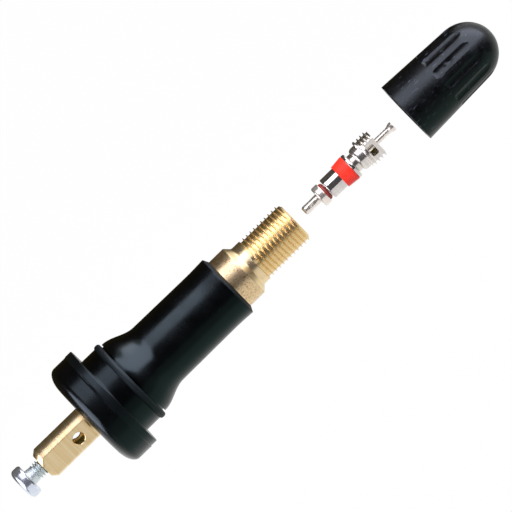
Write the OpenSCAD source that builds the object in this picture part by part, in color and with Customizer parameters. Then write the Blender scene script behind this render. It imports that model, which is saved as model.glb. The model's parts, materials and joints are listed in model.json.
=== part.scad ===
// Snap-in tyre valve with its core, cap and sensor screw drawn apart along the valve's axis.
// +X runs along the axis to the cap, +Z is square to the tail's flats, and the origin lies on
// the axis at the front face of the flange, where the wheel rim seats. Millimetres.

/* [Rubber body] */
// Diameter of the base flange
flange_d = 19.8; // [17:0.1:24]
// Thickness of the base flange
flange_t = 5.7; // [4.5:0.1:8]
// Rounding of the base edge along the axis
base_round_x = 1.8; // [0.8:0.1:3]
// Rounding of the base edge across the axis
base_round_r = 3.2; // [1:0.1:4]
// Diameter of the groove that the rim hole closes on
groove_d = 15.1; // [13.5:0.1:16.5]
// Width of the groove, from the flange to the bead
groove_w = 2.9; // [2:0.1:5]
// Diameter over the retaining bead
bead_d = 15.75; // [15.3:0.05:17]
// Width of the retaining bead
bead_w = 1.1; // [0.6:0.1:2]
// Width of the relief groove behind the bead
relief_w = 0.3; // [0.1:0.05:0.6]
// Depth of the relief groove below the body
relief_depth = 0.4; // [0.1:0.05:0.8]
// Diameter of the body behind the bead
waist_d = 14.6; // [13:0.1:15]
// Length of the blend from the body to the neck
blend_len = 5.55; // [4:0.05:8]
// Diameter of the neck where the blend ends
neck_d = 11.56; // [11:0.02:12.5]
// Diameter of the neck where it is slimmest
neck_slim_d = 11.36; // [10.8:0.02:11.5]
// Diameter of the lip at the neck's end
lip_d = 11.64; // [11.2:0.02:12.5]
// Length of the flare that ends in the lip
lip_flare_len = 3; // [1:0.1:5]
// Length of the body in front of the rim seat
body_len = 25.8; // [23:0.1:40]
// Length of the bevel at the neck's end
lip_bevel = 0.5; // [0.2:0.1:1]

/* [Stem] */
// Diameter of the shoulder that stands out of the rubber
shoulder_d = 9.64; // [9:0.02:10]
// Length of the shoulder that shows
shoulder_len = 3.05; // [1.5:0.05:5]
// Outside diameter of the cap thread
thread_d = 7.7; // [7.2:0.02:8.2]
// Length of the plain neck below the thread
plain_len = 1.9; // [1:0.1:4]
// Length of the cap thread
thread_len = 8.6; // [7.5:0.1:12]
// Chamfer at the mouth of the stem
mouth_chamfer = 0.45; // [0.2:0.05:0.6]
// Diameter of the brass inside the rubber's flange
root_d = 7; // [6.6:0.1:8]
// Diameter over the ribs that anchor the rubber
anchor_d = 8.6; // [8:0.1:9.4]
// Depth of the grooves between those ribs
anchor_depth = 0.5; // [0.2:0.1:0.8]
// Diameter of the tail
tail_d = 5.8; // [5.4:0.1:6.4]
// Length of the tail behind the rubber
tail_len = 10.3; // [9.5:0.1:16]
// Distance across the tail's two flats
tail_flats = 4.3; // [4.1:0.1:5]
// Length of the round collar left between the flats and the rubber
tail_collar = 0.45; // [0.2:0.05:2]
// Chamfer of the tail's end along the axis
tail_chamfer_x = 0.85; // [0.3:0.05:1.2]
// Chamfer of the tail's end across the axis
tail_chamfer_r = 0.7; // [0.3:0.05:0.9]
// Diameter of the air hole across the tail
air_hole_d = 2.1; // [1.5:0.1:2.2]
// Distance from the rubber to the middle of the air hole
air_hole_in = 3; // [2:0.1:3.4]
// Diameter of the air hole's wider mouth in the lower flat
air_back_d = 3.2; // [2.4:0.1:3.4]
// Distance from the axis to the end of that wider mouth
air_back_in = 0.9; // [0.5:0.1:1.5]
// Diameter of the air passage along the stem
passage_d = 2.4; // [1.8:0.1:2.6]

/* [Sensor screw] */
// Outside diameter of the screw's thread
screw_d = 2.9; // [2.6:0.05:3]
// Length of the screw below its head
screw_len = 4.8; // [4.6:0.1:5.4]
// Length of the plain neck below the head
screw_neck_len = 1.1; // [0.5:0.1:1.5]
// Diameter of that neck
screw_neck_d = 2.75; // [2:0.05:2.85]
// Diameter of the head
head_d = 5.6; // [5:0.1:6.5]
// Height of the head
head_h = 2.1; // [1.6:0.05:3]
// Height of the head's crown
head_crown = 1.2; // [0.6:0.05:1.4]
// Power of the crown's outline, where 2 is an ellipse and more is squarer
head_power = 3.5; // [2:0.1:5]
// Diameter over the lobes of the drive recess
drive_d = 2.7; // [2:0.1:3]
// Depth of the drive recess
drive_depth = 1.1; // [0.6:0.1:1.2]
// How far the screw stands out of the tail
screw_out = 2.75; // [0.5:0.05:4]

/* [Valve core] */
// Diameter of the sleeve below the cup
sleeve_d = 1.55; // [1.4:0.05:2]
// Length of that sleeve
sleeve_len = 3.2; // [2:0.1:4]
// Diameter of the cup
cup_d = 3.7; // [3.5:0.05:3.9]
// Height of the cup
cup_h = 1.3; // [1.1:0.05:2]
// Wall of the cup
cup_wall = 0.25; // [0.2:0.05:0.4]
// How far the washer stands out of the cup
washer_proud = 0.65; // [0.2:0.05:0.8]
// Diameter of the barrel
barrel_d = 3.76; // [3.6:0.02:4]
// Length of the barrel below the seal
barrel_len = 2.8; // [2:0.1:4]
// Diameter of the spring's room inside the barrel
spring_room_d = 2.8; // [2.7:0.1:3]
// Floor of the barrel
barrel_floor = 0.6; // [0.4:0.05:0.8]
// Diameter of the seal at its small end
seal_small_d = 4.2; // [4.1:0.05:4.3]
// Diameter of the seal at its large end
seal_large_d = 4.66; // [4.5:0.02:4.8]
// Length of the seal
seal_len = 2.25; // [1.8:0.05:3]
// Diameter of the barrel's collar
collar_d = 4.6; // [4.4:0.05:4.8]
// Length of the barrel's collar
collar_len = 0.65; // [0.5:0.05:1]
// Diameter of the plug's waist
waist_plug_d = 3.2; // [2.8:0.1:3.6]
// Length of the plug's waist
waist_plug_len = 0.75; // [0.4:0.05:1.2]
// Diameter of the plug's bulb
bulb_d = 4.24; // [3.8:0.02:4.6]
// Length of the plug's bulb
bulb_len = 1.35; // [1:0.05:2]
// Outside diameter of the plug's thread
plug_d = 5.24; // [5:0.02:5.4]
// Length of the plug's full round thread
plug_round_len = 1.05; // [0.8:0.05:2]
// Length of the bridge above it
bridge_len = 2; // [1.7:0.1:3]
// Thickness of the bridge across its flats
bridge_t = 2.9; // [2.4:0.1:3.6]
// Width of the window through the bridge
window_w = 2; // [1.6:0.05:2.2]
// Height of the window through the bridge
window_h = 1.25; // [0.8:0.05:1.4]
// Rounding of the window's corners
window_round = 0.35; // [0.1:0.05:0.4]
// Diameter of the pin
pin_d = 1.1; // [0.9:0.05:1.2]
// Length of the pin that shows above the bridge
pin_show = 3.7; // [3:0.1:4.5]
// Diameter of the pin's head
pin_head_d = 1.66; // [1.4:0.02:2]
// Length of the pin's head
pin_head_len = 1.1; // [0.6:0.1:1.5]
// Travel of the pin when it is pressed
pin_travel = 1.5; // [1:0.1:1.5]
// Wire of the return spring
spring_wire = 0.28; // [0.2:0.02:0.3]
// Turns of the return spring
spring_turns = 5; // [3:1:5]

/* [Cap] */
// Diameter of the cap at its mouth
cap_d = 11.36; // [11:0.02:12.4]
// Diameter of the cap where the dome begins
cap_dome_d = 10.34; // [9.8:0.02:10.8]
// Length of the dome
dome_len = 5.6; // [4.5:0.1:7]
// Thickness of the cap's top above the gasket
cap_top_t = 3.3; // [2.6:0.1:5]
// Number of grip flutes
flutes = 12; // [8:1:14]
// Angle of the first flute from the face that the air hole looks to
flute_turn = -7; // [-15:1:15]
// Distance from the mouth to the flutes
flute_start = 7; // [5:0.1:9]
// Radius of the cutter that leaves a flute
flute_r = 1.8; // [1:0.1:2.2]
// Depth of a flute below the wall
flute_depth = 0.22; // [0.1:0.02:0.3]
// Thickness of the cap's gasket
gasket_t = 1; // [0.6:0.1:1.5]

/* [Drawn apart] */
// How far the core is drawn out of the stem
core_out = 22.1; // [21:0.1:40]
// How far the cap is drawn off ahead of the core
cap_out = 17.1; // [16:0.1:40]

/* [Clearances] */
// Gap round a piece that turns or slides in another
running_gap = 0.06; // [0.03:0.01:0.1]
// Gap round a screw thread, on the radius
thread_gap = 0.08; // [0.05:0.01:0.12]
// Gap between faces that close on each other
face_gap = 0.05; // [0.02:0.01:0.1]
// How far the pin's head lies below the mouth of the stem
pin_below = 0.3; // [0.1:0.1:0.8]
// Free length at the bottom of a blind hole
hole_spare = 0.3; // [0.2:0.1:0.5]

/* [Hidden] */
$fn = 96;

brass = "#d9b468";
nickel = "#cfcfd2";
black = "#202224";
arc_steps = 16;

// Stations along the stem
base_x = -flange_t;
tail_end_x = base_x - tail_len;
flats_end_x = base_x - tail_collar;
air_hole_x = base_x - air_hole_in;
passage_over = 0.1;
passage_end_x = air_hole_x - air_hole_d / 2 - passage_over;
bead_end_x = groove_w + bead_w;
waist_x = bead_end_x + relief_w;
neck_x = waist_x + blend_len;
flare_x = body_len - lip_bevel - lip_flare_len;
shoulder_end_x = body_len + shoulder_len;
cone_end_x = shoulder_end_x + (shoulder_d - thread_d) / 2;
stem_end_x = cone_end_x + plain_len + thread_len;

// Heights in the core, from the tip of its lower sleeve
cup_u = sleeve_len;
cup_corner = 0.35;
cup_floor_u = cup_u + cup_corner;
washer_u = cup_u + cup_h + washer_proud;
barrel_u = washer_u + face_gap;
seal_u = barrel_u + barrel_len;
collar_u = seal_u + seal_len;
collar_top_u = collar_u + collar_len;
lip_t = collar_len / 2;
foot_h = collar_len;
pocket_u = collar_top_u - lip_t - foot_h - 2 * face_gap;
foot_u = pocket_u + face_gap;
waist_u = collar_top_u + face_gap;
bulb_u = waist_u + waist_plug_len;
plug_u = bulb_u + bulb_len;
bridge_u = plug_u + plug_round_len;
plug_top_u = bridge_u + bridge_len;
pin_top_u = plug_top_u + pin_show;

// The core's place when it is screwed home, and drawn apart
home_x = stem_end_x - pin_below - pin_top_u;
core_x = home_x + core_out;

// Diameters inside the core
pin_hole_d = pin_d + 2 * running_gap;
air_ring = 0.2;
air_bore_d = pin_d + 2 * air_ring;
foot_wall = 0.4;
foot_neck_d = air_bore_d + 2 * foot_wall;
foot_lip = 0.28;
foot_d = foot_neck_d + 2 * foot_lip;
spring_seat_d = spring_room_d - 2 * 2 * running_gap;
spring_mean_d = (spring_room_d + pin_d) / 2;
spring_floor_u = barrel_u + barrel_floor;
spring_seat_t = 0.35;
spring_seat_u = spring_floor_u + pin_travel + (spring_turns + 0.9) * spring_wire;

// The bore of the stem, from the pieces that it takes
plug_bore_d = plug_d + 2 * thread_gap;
collar_bore_d = max(collar_d, seal_large_d) + 2 * running_gap;
seat_bore_d = seal_small_d + 2 * running_gap;
chamber_d = max(barrel_d, cup_d) + 4 * running_gap;
chamber_x = home_x - pin_travel - hole_spare;
screw_hole_d = screw_d + 2 * thread_gap;

// The cap, from the stem that it covers
cap_home_x = body_len + face_gap;
cap_x = cap_home_x + core_out + cap_out;
cap_depth = stem_end_x - cap_home_x + face_gap + gasket_t;
cap_len = cap_depth + cap_top_t;
dome_x = cap_len - dome_len;
mouth_bore_d = shoulder_d + 2 * thread_gap;
cap_bore_d = thread_d + 2 * thread_gap;
mouth_bore_len = shoulder_end_x - cap_home_x + thread_gap;

// Points of a quarter ellipse round [x, r] from angle a to angle b
function bend(x, r, half_x, half_r, a, b) =
    [for (i = [0:arc_steps]) let (t = a + (b - a) * i / arc_steps)
        [r + half_r * sin(t), x + half_x * cos(t)]];

// Points of a smooth step from radius r0 at x0 to radius r1 at x1
function smooth_step(x0, r0, x1, r1) =
    [for (i = [0:arc_steps]) let (t = i / arc_steps)
        [r1 + (r0 - r1) * (1 + cos(180 * t)) / 2, x0 + (x1 - x0) * t]];

// Points of a crown that ends at x: a quarter of the curve |x|^power + |r|^power = 1, from the axis outwards
function crown_line(x, half_x, half_r, power) =
    [for (i = [0:arc_steps]) let (t = 90 * i / arc_steps)
        [half_r * pow(sin(t), 2 / power), x - half_x * pow(cos(t), 2 / power)]];

// A solid of revolution about the X axis, from [radius, x] points
module turned(points) {
    rotate([0, 90, 0]) rotate_extrude() polygon(points);
}

// A straight round bar along X
module bar(x0, x1, d) {
    translate([x0, 0, 0]) rotate([0, 90, 0]) cylinder(h = x1 - x0, d = d);
}

// A tapered round bar along X
module taper(x0, x1, d0, d1) {
    translate([x0, 0, 0]) rotate([0, 90, 0]) cylinder(h = x1 - x0, d1 = d0, d2 = d1);
}

// Outline of the brass where the rubber is bonded to it, from the base to the neck's end
anchor_from = neck_x;
anchor_to = flare_x;
anchor_ribs = 4;
anchor_pitch = (anchor_to - anchor_from) / (anchor_ribs + 0.5);
function anchor_outline() = concat(
    [[root_d / 2, base_x], [root_d / 2, groove_w], [anchor_d / 2 - anchor_depth, anchor_from]],
    [for (i = [0:anchor_ribs - 1], k = [0:3])
        [anchor_d / 2 - (k == 0 || k == 3 ? anchor_depth : 0),
         anchor_from + anchor_pitch * (i + 0.3 + 0.2 * k)]],
    [[anchor_d / 2 - anchor_depth, anchor_to], [shoulder_d / 2, anchor_to + lip_flare_len / 2],
     [shoulder_d / 2, body_len]]
);

module rubber_body() {
    groove_r = groove_d / 2;
    bead_x = groove_w + bead_w / 2;
    relief_r = waist_d / 2 - relief_depth;
    brass_line = anchor_outline();
    color(black) turned(concat(
        [[root_d / 2, base_x], [flange_d / 2 - base_round_r, base_x]],
        bend(base_x + base_round_x, flange_d / 2 - base_round_r, -base_round_x, base_round_r, 0, 90),
        [[flange_d / 2, 0], [groove_r, 0], [groove_r, groove_w]],
        bend(bead_x, groove_r, -bead_w / 2, (bead_d - groove_d) / 2, 0, 180),
        [[relief_r, bead_end_x], [relief_r, waist_x]],
        smooth_step(waist_x, waist_d / 2, neck_x, neck_d / 2),
        [[neck_slim_d / 2, flare_x], [lip_d / 2, body_len - lip_bevel]],
        [for (i = [len(brass_line) - 1:-1:1]) brass_line[i]]
    ));
}

// The hollow of the stem: core bore, taper seat, chamber and air passage
module core_bore() {
    seat_x = home_x + seal_u;
    collar_x = home_x + collar_u;
    clear_x = home_x + collar_top_u + face_gap;
    plug_step = (plug_bore_d - collar_bore_d) / 2;
    neck_down = (chamber_d - passage_d) / 2;
    turned([
        [0, passage_end_x], [passage_d / 2, passage_end_x], [passage_d / 2, chamber_x - neck_down],
        [chamber_d / 2, chamber_x], [chamber_d / 2, seat_x], [seat_bore_d / 2, seat_x],
        [collar_bore_d / 2, collar_x], [collar_bore_d / 2, clear_x], [plug_bore_d / 2, clear_x + plug_step],
        [plug_bore_d / 2, stem_end_x - mouth_chamfer / 2],
        [plug_bore_d / 2 + mouth_chamfer, stem_end_x + mouth_chamfer / 2], [0, stem_end_x + mouth_chamfer / 2]
    ]);
}

module valve_stem() {
    brass_line = anchor_outline();
    hole_end_x = tail_end_x + screw_len + hole_spare;
    flat_len = flats_end_x - tail_end_x + tail_len;
    color(brass) difference() {
        turned(concat(
            [[0, tail_end_x], [tail_d / 2 - tail_chamfer_r, tail_end_x],
             [tail_d / 2, tail_end_x + tail_chamfer_x], [tail_d / 2, base_x]],
            brass_line,
            [[shoulder_d / 2, shoulder_end_x], [thread_d / 2, cone_end_x],
             [thread_d / 2, stem_end_x - mouth_chamfer], [thread_d / 2 - mouth_chamfer, stem_end_x],
             [0, stem_end_x]]
        ));
        core_bore();
        for (side = [-1, 1])
            translate([flats_end_x - flat_len, -tail_d, side > 0 ? tail_flats / 2 : -tail_flats / 2 - tail_d])
                cube([flat_len, 2 * tail_d, tail_d]);
        translate([air_hole_x, 0, -tail_d]) cylinder(h = 2 * tail_d, d = air_hole_d);
        translate([air_hole_x, 0, -tail_d]) cylinder(h = tail_d - air_back_in, d = air_back_d);
        bar(tail_end_x - hole_spare, hole_end_x, screw_hole_d);
    }
}

module sensor_screw() {
    seat_x = tail_end_x - screw_out;
    tip_x = seat_x + screw_len;
    top_x = seat_x - head_h;
    edge = head_h * 0.12;
    point = screw_d * 0.12;
    lobe_d = drive_d * 0.28;
    color("#b8bcc2") difference() {
        turned(concat(
            crown_line(top_x + head_crown, head_crown, head_d / 2, head_power),
            [[head_d / 2, seat_x - edge], [head_d / 2 - edge, seat_x], [screw_neck_d / 2, seat_x],
             [screw_neck_d / 2, seat_x + screw_neck_len], [screw_d / 2, seat_x + screw_neck_len + point],
             [screw_d / 2, tip_x - point], [screw_d / 2 - point, tip_x], [0, tip_x]]
        ));
        bar(top_x - edge, top_x + drive_depth, drive_d - lobe_d);
        for (i = [0:5])
            rotate([60 * i, 0, 0]) translate([0, 0, (drive_d - lobe_d) / 2])
                bar(top_x - edge, top_x + drive_depth, lobe_d);
    }
}

module core_plug() {
    rim = 0.2;
    color(nickel) translate([core_x, 0, 0]) difference() {
        union() {
            turned(concat(
                [[0, foot_u], [foot_d / 2, foot_u], [foot_d / 2, foot_u + foot_h],
                 [foot_neck_d / 2, foot_u + foot_h], [foot_neck_d / 2, waist_u], [waist_plug_d / 2, waist_u],
                 [waist_plug_d / 2, bulb_u]],
                bend(bulb_u + bulb_len / 2, waist_plug_d / 2, -bulb_len / 2, (bulb_d - waist_plug_d) / 2,
                     0, 90),
                [[bulb_d / 2, plug_u], [plug_d / 2 - rim, plug_u], [plug_d / 2, plug_u + rim],
                 [plug_d / 2, bridge_u], [0, bridge_u]]
            ));
            intersection() {
                turned([[0, bridge_u], [plug_d / 2, bridge_u], [plug_d / 2, plug_top_u - rim],
                        [plug_d / 2 - rim, plug_top_u], [0, plug_top_u]]);
                translate([bridge_u - rim, -plug_d, -bridge_t / 2])
                    cube([bridge_len + 2 * rim, 2 * plug_d, bridge_t]);
            }
        }
        bar(foot_u - rim, bridge_u + window_h / 2, air_bore_d);
        bar(foot_u - rim, plug_top_u + rim, pin_hole_d);
        translate([bridge_u + face_gap, 0, -bridge_t]) window(2 * bridge_t);
    }
}

// The window's opening, with round corners, as a bar along Z
module window(height) {
    side = window_w / 2 - window_round;
    for (x = [window_round, window_h - window_round], y = [-side, side])
        translate([x, y, 0]) cylinder(h = height, r = window_round);
    translate([0, -side, 0]) cube([window_h, 2 * side, height]);
    translate([window_round, -window_w / 2, 0]) cube([window_h - 2 * window_round, window_w, height]);
}

module core_barrel() {
    edge = 0.15;
    color(nickel) translate([core_x, 0, 0]) difference() {
        turned([
            [0, barrel_u], [barrel_d / 2 - edge, barrel_u], [barrel_d / 2, barrel_u + edge],
            [barrel_d / 2, collar_u], [collar_d / 2 - edge, collar_u], [collar_d / 2, collar_u + edge],
            [collar_d / 2, collar_top_u - edge], [collar_d / 2 - edge, collar_top_u], [0, collar_top_u]
        ]);
        bar(barrel_u - edge, collar_top_u, air_bore_d);
        bar(spring_floor_u, pocket_u, spring_room_d);
        bar(pocket_u, collar_top_u - lip_t, foot_d + 2 * running_gap);
        bar(collar_top_u - lip_t, collar_top_u + edge, foot_neck_d + 2 * running_gap);
    }
}

module core_seal() {
    color("#e8352b") translate([core_x, 0, 0]) turned([
        [barrel_d / 2, seal_u], [seal_small_d / 2, seal_u], [seal_large_d / 2, collar_u],
        [barrel_d / 2, collar_u]
    ]);
}

module core_pin() {
    flare = (pin_head_d - pin_d) / 2;
    crown = 0.2;
    color(nickel) translate([core_x, 0, 0]) turned([
        [0, sleeve_d / 2], [pin_d / 2, sleeve_d / 2], [pin_d / 2, spring_seat_u],
        [spring_seat_d / 2, spring_seat_u],
        [spring_seat_d / 2, spring_seat_u + spring_seat_t], [pin_d / 2, spring_seat_u + spring_seat_t],
        [pin_d / 2, pin_top_u - pin_head_len], [pin_head_d / 2, pin_top_u - pin_head_len + flare],
        [pin_head_d / 2, pin_top_u - crown], [pin_head_d / 2 - crown, pin_top_u], [0, pin_top_u]
    ]);
}

module core_cup() {
    bore_r = pin_d / 2 + running_gap / 2;
    color(nickel) translate([core_x, 0, 0]) turned(concat(
        [[0, 0]],
        bend(sleeve_d / 2, 0, -sleeve_d / 2, sleeve_d / 2, 0, 90),
        [[sleeve_d / 2, cup_u], [cup_d / 2 - cup_corner, cup_u], [cup_d / 2, cup_u + cup_corner],
         [cup_d / 2, cup_u + cup_h], [cup_d / 2 - cup_wall, cup_u + cup_h],
         [cup_d / 2 - cup_wall, cup_floor_u + cup_wall], [bore_r, cup_floor_u],
         [bore_r, sleeve_d / 2 - running_gap], [0, sleeve_d / 2 - running_gap]]
    ));
}

module cup_washer() {
    bore_r = pin_d / 2 + running_gap / 2;
    outer_r = cup_d / 2 - cup_wall - running_gap / 2;
    first_u = cup_floor_u + cup_wall;
    color("#7a3a2c") translate([core_x, 0, 0]) turned([
        [bore_r, first_u], [outer_r, first_u], [outer_r, washer_u], [bore_r, washer_u]
    ]);
}

// One closed coil of wire between the barrel's floor and the pin's seat
module core_spring() {
    sides = 8;
    per_turn = 18;
    rings = spring_turns * per_turn;
    start_u = spring_floor_u + spring_wire / 2 + face_gap / 2;
    rise = spring_seat_u - spring_floor_u - spring_wire - face_gap;
    points = [for (i = [0:rings], k = [0:sides - 1])
        let (turn = 360 * i / per_turn, lean = 360 * k / sides,
             reach = (spring_mean_d + spring_wire * cos(lean)) / 2)
        [start_u + rise * i / rings + spring_wire / 2 * sin(lean), reach * cos(turn), reach * sin(turn)]];
    skin = [for (i = [0:rings - 1], k = [0:sides - 1])
        let (next = (k + 1) % sides)
        [i * sides + k, (i + 1) * sides + k, (i + 1) * sides + next, i * sides + next]];
    ends = [[for (k = [0:sides - 1]) k], [for (k = [sides - 1:-1:0]) rings * sides + k]];
    color("#9a9ea4") translate([core_x, 0, 0]) polyhedron(points, concat(skin, ends));
}

module cap() {
    wall_drop = (cap_d - cap_dome_d) / 2;
    wall_lean = atan(wall_drop / dome_x);
    flute_floor = cap_d / 2 - wall_drop * flute_start / dome_x - flute_depth;
    point = 0.5;
    color(black) translate([cap_x, 0, 0]) difference() {
        turned(concat(
            [[0, 0], [cap_d / 2, 0]],
            bend(dome_x, 0, dome_len, cap_dome_d / 2, 90, 0)
        ));
        bar(-point, mouth_bore_len, mouth_bore_d);
        taper(mouth_bore_len, mouth_bore_len + (mouth_bore_d - cap_bore_d) / 2, mouth_bore_d, cap_bore_d);
        bar(0, cap_depth, cap_bore_d);
        for (i = [0:flutes - 1])
            rotate([flute_turn + 360 * i / flutes, 0, 0]) translate([flute_start, 0, flute_floor + flute_r])
                rotate([0, wall_lean, 0]) {
                    taper(0, point, 2 * (flute_r - point), 2 * flute_r);
                    bar(point, cap_len, 2 * flute_r);
                }
    }
}

module cap_gasket() {
    color("#3a3a3c") translate([cap_x, 0, 0])
        bar(cap_depth - gasket_t, cap_depth, cap_bore_d - 2 * running_gap);
}

rubber_body();
valve_stem();
sensor_screw();
core_plug();
core_barrel();
core_seal();
core_pin();
core_cup();
cup_washer();
core_spring();
cap();
cap_gasket();
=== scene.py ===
import json
import math
import bmesh
import bpy
import numpy as np
from mathutils import Matrix, Vector


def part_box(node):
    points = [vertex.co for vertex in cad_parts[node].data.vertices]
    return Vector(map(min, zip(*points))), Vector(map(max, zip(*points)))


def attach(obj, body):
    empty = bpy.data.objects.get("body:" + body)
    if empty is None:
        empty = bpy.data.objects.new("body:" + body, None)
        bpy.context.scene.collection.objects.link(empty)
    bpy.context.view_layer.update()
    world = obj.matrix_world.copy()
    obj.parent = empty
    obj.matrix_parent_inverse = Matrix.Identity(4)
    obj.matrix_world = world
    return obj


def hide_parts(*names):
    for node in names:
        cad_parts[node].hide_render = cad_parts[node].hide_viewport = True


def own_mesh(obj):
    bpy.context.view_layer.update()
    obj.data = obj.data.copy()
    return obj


# A snap-in tyre valve with its core, cap and screw drawn apart along X. Sizes are in mm and angles in degrees
# unless a note says so.
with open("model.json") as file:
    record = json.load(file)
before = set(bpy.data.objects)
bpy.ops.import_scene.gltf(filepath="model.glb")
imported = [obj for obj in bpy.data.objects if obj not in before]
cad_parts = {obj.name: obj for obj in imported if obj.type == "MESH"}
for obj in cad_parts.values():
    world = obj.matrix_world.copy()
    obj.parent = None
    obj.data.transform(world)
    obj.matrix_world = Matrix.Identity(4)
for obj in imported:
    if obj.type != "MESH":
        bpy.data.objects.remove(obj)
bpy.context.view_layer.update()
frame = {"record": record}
scene = bpy.context.scene
mm = 0.001


# First x, last x and largest radius of a solid
def reach(node):
    low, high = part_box(node)
    return low.x / mm, high.x / mm, high.y / mm


# Turns an sRGB hex colour to linear
def linear(hexColour):
    srgb = np.array([int(hexColour[k:k + 2], 16) / 255 for k in (1, 3, 5)])
    low = srgb / 12.92
    high = ((srgb + 0.055) / 1.055) ** 2.4
    return (*np.where(srgb <= 0.04045, low, high), 1.0)


# A profile from corners (x, r, rounding, step): a rounded corner is cut back by its rounding on both sides
# and bridged by a parabola, then each straight is split evenly into stretches no longer than its step.
def profileOf(corners, step=1.0):
    points = np.array([c[:2] for c in corners], float)
    roundings = [c[2] if len(c) > 2 else 0 for c in corners]
    steps = [c[3] if len(c) > 3 else step for c in corners]
    bits = []
    for k, point in enumerate(points):
        if roundings[k] == 0:
            bits.append((point[None], steps[k]))
            continue
        before = points[k - 1] - point
        after = points[(k + 1) % len(points)] - point
        a = point + before / np.hypot(*before) * roundings[k]
        b = point + after / np.hypot(*after) * roundings[k]
        t = np.linspace(0, 1, 7)[:, None]
        bits.append(((1 - t) ** 2 * a + 2 * t * (1 - t) * point + t ** 2 * b, steps[k]))
    line = [bits[0][0]]
    for (bit, bitStep), (following, _) in zip(bits[:-1], bits[1:]):
        gap = following[0] - bit[-1]
        count = max(1, math.ceil(np.hypot(*gap) / bitStep))
        t = np.linspace(0, 1, count + 1)[1:-1, None]
        line += [bit[-1] + t * gap, following]
    line = np.vstack(line)
    return line[:, 0], line[:, 1]


# Angles round the axis, from +Z towards +Y
def roundAngles(count):
    return np.linspace(0, 2 * np.pi, count, endpoint=False)


# Radii of rings that are plain rounds, with one column for each angle
def plainRings(r, angles):
    return np.repeat(r[:, None], len(angles), 1)


# How deep a screw thread cuts below its crests, from 0 to 1: thin crests, eased flanks and wide roots. The
# groove's middle runs on the right-hand helix x = first + pitch * (whole turns - (angle - startAngle) / 360),
# from first to last, and its ends are blunt.
def threadCut(x, angles, first, last, pitch, startAngle=0.0, crestFlat=0.08, rootFlat=0.25, blunt=0.04):
    turned = (angles[None] - math.radians(startAngle)) / (2 * np.pi)
    turns = (x[:, None] - first) / pitch + turned
    whole = np.floor(turns + 0.5)
    away = 2 * np.abs(turns - whole)
    slope = np.clip((1 - crestFlat - away) / (1 - crestFlat - rootFlat), 0, 1)
    grooveX = first + pitch * (whole - turned)
    ends = np.clip((grooveX - first) / blunt + 1, 0, 1) * np.clip((last - grooveX) / blunt + 1, 0, 1)
    return slope ** 2 * (3 - 2 * slope) * ends


# Points of a surface of revolution about X, from x of each ring and its radius, one for the ring or one for
# each angle
def revolve(x, r, angles):
    r = np.broadcast_to(r if np.ndim(r) == 2 else r[:, None], (len(x), len(angles)))
    across = np.broadcast_to(x[:, None], r.shape)
    return np.stack([across, r * np.sin(angles), r * np.cos(angles)], -1)


# A mesh of quads over a grid of points whose columns close on themselves; loop closes its rows too. Rings
# that shrink to a point are welded.
def gridMesh(name, points, loop=False):
    rows, columns = points.shape[:2]
    index = np.arange(rows * columns).reshape(rows, columns)
    first = index if loop else index[:-1]
    second = np.roll(index, -1, 0) if loop else index[1:]
    quads = np.stack([first, second, np.roll(second, -1, 1), np.roll(first, -1, 1)], -1).reshape(-1, 4)
    mesh = bpy.data.meshes.new(name)
    mesh.vertices.add(rows * columns)
    mesh.vertices.foreach_set("co", (points * mm).ravel())
    mesh.loops.add(quads.size)
    mesh.loops.foreach_set("vertex_index", quads.ravel())
    mesh.polygons.add(len(quads))
    mesh.polygons.foreach_set("loop_start", np.arange(0, quads.size, 4))
    mesh.update(calc_edges=True)
    welded = bmesh.new()
    welded.from_mesh(mesh)
    bmesh.ops.remove_doubles(welded, verts=welded.verts, dist=1e-8)  # metres
    welded.to_mesh(mesh)
    welded.free()
    return mesh


# Smooth shading that keeps edges sharper than an angle in degrees
def smoothed(mesh, sharpAbove=32):
    mesh.shade_smooth()
    mesh.set_sharp_from_angle(angle=math.radians(sharpAbove))
    return mesh


# Takes closed cutters out of a piece and keeps the result as its own mesh
def cutAway(piece, cutters):
    for cutter in cutters:
        cut = piece.modifiers.new("cut", "BOOLEAN")
        cut.operation = "DIFFERENCE"
        cut.solver = "EXACT"
        cut.object = cutter
    bpy.context.view_layer.update()
    ready = piece.evaluated_get(bpy.context.evaluated_depsgraph_get())
    piece.data = bpy.data.meshes.new_from_object(ready)
    piece.modifiers.clear()
    for cutter in cutters:
        bpy.data.objects.remove(cutter)
    smoothed(piece.data)


# A cutter: a box along Z with rounded upright edges, as a round outline carried from its floor to its top
def boxCutter(name, box, rounding):
    x0, x1, y0, y1, z0, z1 = box
    turn = np.linspace(0, np.pi / 2, 6)
    quarter = np.concatenate([turn, turn + np.pi / 2, turn + np.pi, turn + 1.5 * np.pi])
    cornerX = np.repeat([x1, x0, x0, x1], len(turn)) - rounding * np.repeat([1, -1, -1, 1], len(turn))
    cornerY = np.repeat([y1, y1, y0, y0], len(turn)) - rounding * np.repeat([1, 1, -1, -1], len(turn))
    outlineX = cornerX + rounding * np.cos(quarter)
    outlineY = cornerY + rounding * np.sin(quarter)
    middleX = (x0 + x1) / 2
    middleY = (y0 + y1) / 2
    wide = np.array([0, 1, 1, 0])[:, None]
    level = plainRings(np.array([z0, z0, z1, z1]), quarter)
    x = middleX + wide * (outlineX - middleX)
    y = middleY + wide * (outlineY - middleY)
    points = np.stack([x, y, level], -1)
    return addObject(name, gridMesh(name, points[::-1]))


# A new object in the scene
def addObject(name, mesh):
    piece = bpy.data.objects.new(name, mesh)
    scene.collection.objects.link(piece)
    return piece


# Body of each solid
bodyOf = {node: body for body, nodes in frame["record"]["behaviour"]["bodies"].items() for node in nodes}

# Each group of things has lamps of its own: black mouldings, brass, plated metals, and the rest with the
# floor
lit = {kind: bpy.data.collections.new(kind + "Things") for kind in ("black", "brass", "plated", "other")}
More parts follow.
